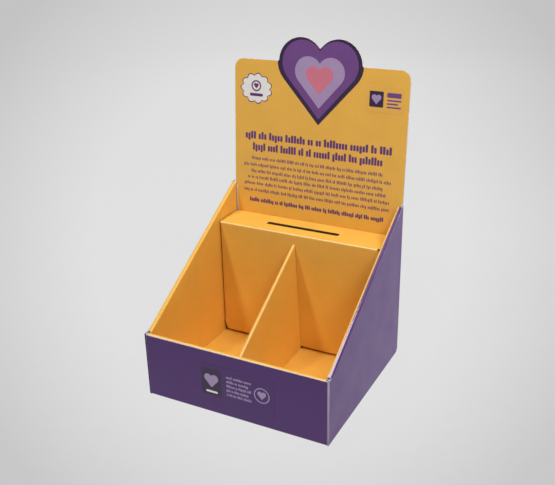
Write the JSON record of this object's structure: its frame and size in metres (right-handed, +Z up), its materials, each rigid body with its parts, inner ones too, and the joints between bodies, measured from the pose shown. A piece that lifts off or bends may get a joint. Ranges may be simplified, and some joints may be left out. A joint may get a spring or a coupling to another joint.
{
  "type": "donation box",
  "caption": "Counter-top donation box of printed folded board: sloping tray with divided bins, slotted money box across the back, hinged lift-out header card and a rear emptying door.",
  "frame": {"origin": "centre of the tray's underside, on the surface it stands on", "axes": "+X to the right of someone facing the box, +Y to its back, +Z up"},
  "size_m": [0.19, 0.1855, 0.3172],
  "materials": {
    "purple_print": "satin purple print on fluted board",
    "yellow_print": "satin yellow print on fluted board",
    "white_board": "unprinted white liner",
    "label_paper": "thin printed paper label"
  },
  "bodies": {
    "tray": {"back_left_tab": "white_board", "back_panel": "purple_print", "back_right_tab": "white_board", "divider_left_leaf": "yellow_print", "divider_right_leaf": "yellow_print", "floor_left": "yellow_print", "floor_right": "yellow_print", "front_inner_wall": "yellow_print", "front_label": "label_paper", "front_left_tab": "white_board", "front_outer_wall": "purple_print", "front_right_tab": "white_board", "front_rim": "yellow_print", "header_stop": "white_board", "left_inner_wall": "yellow_print", "left_outer_wall": "purple_print", "left_rim": "purple_print", "money_box_bottom": "yellow_print", "money_box_flange": "yellow_print", "money_box_front": "yellow_print", "money_box_left_side": "yellow_print", "money_box_right_side": "yellow_print", "money_box_top": "yellow_print", "right_inner_wall": "yellow_print", "right_outer_wall": "purple_print", "right_rim": "purple_print", "tray_base": "purple_print"},
    "header_tongue": {"header_tongue": "yellow_print"},
    "header_card": {"header_card": "yellow_print", "header_label": "label_paper"},
    "rear_door": {"rear_door": "purple_print"}
  },
  "joints": [
    {"name": "header_lift", "type": "slide", "parent": "tray", "child": "header_tongue", "axis": [0, 0, 1], "range_m": [0, 0.062]},
    {"name": "header_fold", "type": "hinge", "parent": "header_tongue", "child": "header_card", "pos_m": [0, 0.0856, 0.1603], "axis": [-1, 0, 0], "range_deg": [-4, 95]},
    {"name": "rear_door_hinge", "type": "hinge", "parent": "tray", "child": "rear_door", "pos_m": [0, 0.08725, 0.072], "axis": [1, 0, 0], "range_deg": [0, 100]}
  ]
}
